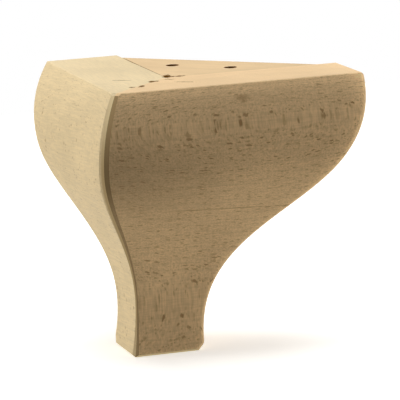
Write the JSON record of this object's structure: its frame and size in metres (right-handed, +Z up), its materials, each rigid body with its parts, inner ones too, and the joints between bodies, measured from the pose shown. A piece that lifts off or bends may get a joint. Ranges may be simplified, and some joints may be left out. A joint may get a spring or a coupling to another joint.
{
  "type": "wooden furniture leg",
  "caption": "Corner bracket leg in raw beech: ogee-moulded boards mitred at the front corner, tapering to a foot, with a glued triangular block drilled for screws to the furniture above.",
  "frame": {"origin": "midway between the screw holes, on the top face that meets the furniture", "axes": "+Z up, out of the top face; +X along the right board, away from the mitred front corner; +Y along the left board"},
  "size_m": [0.1478, 0.1478, 0.14],
  "materials": {
    "beech": "raw sanded beech, unfinished"
  },
  "bodies": {
    "root": {"left_bracket": "beech", "right_bracket": "beech", "corner_block": "beech"}
  },
  "joints": []
}
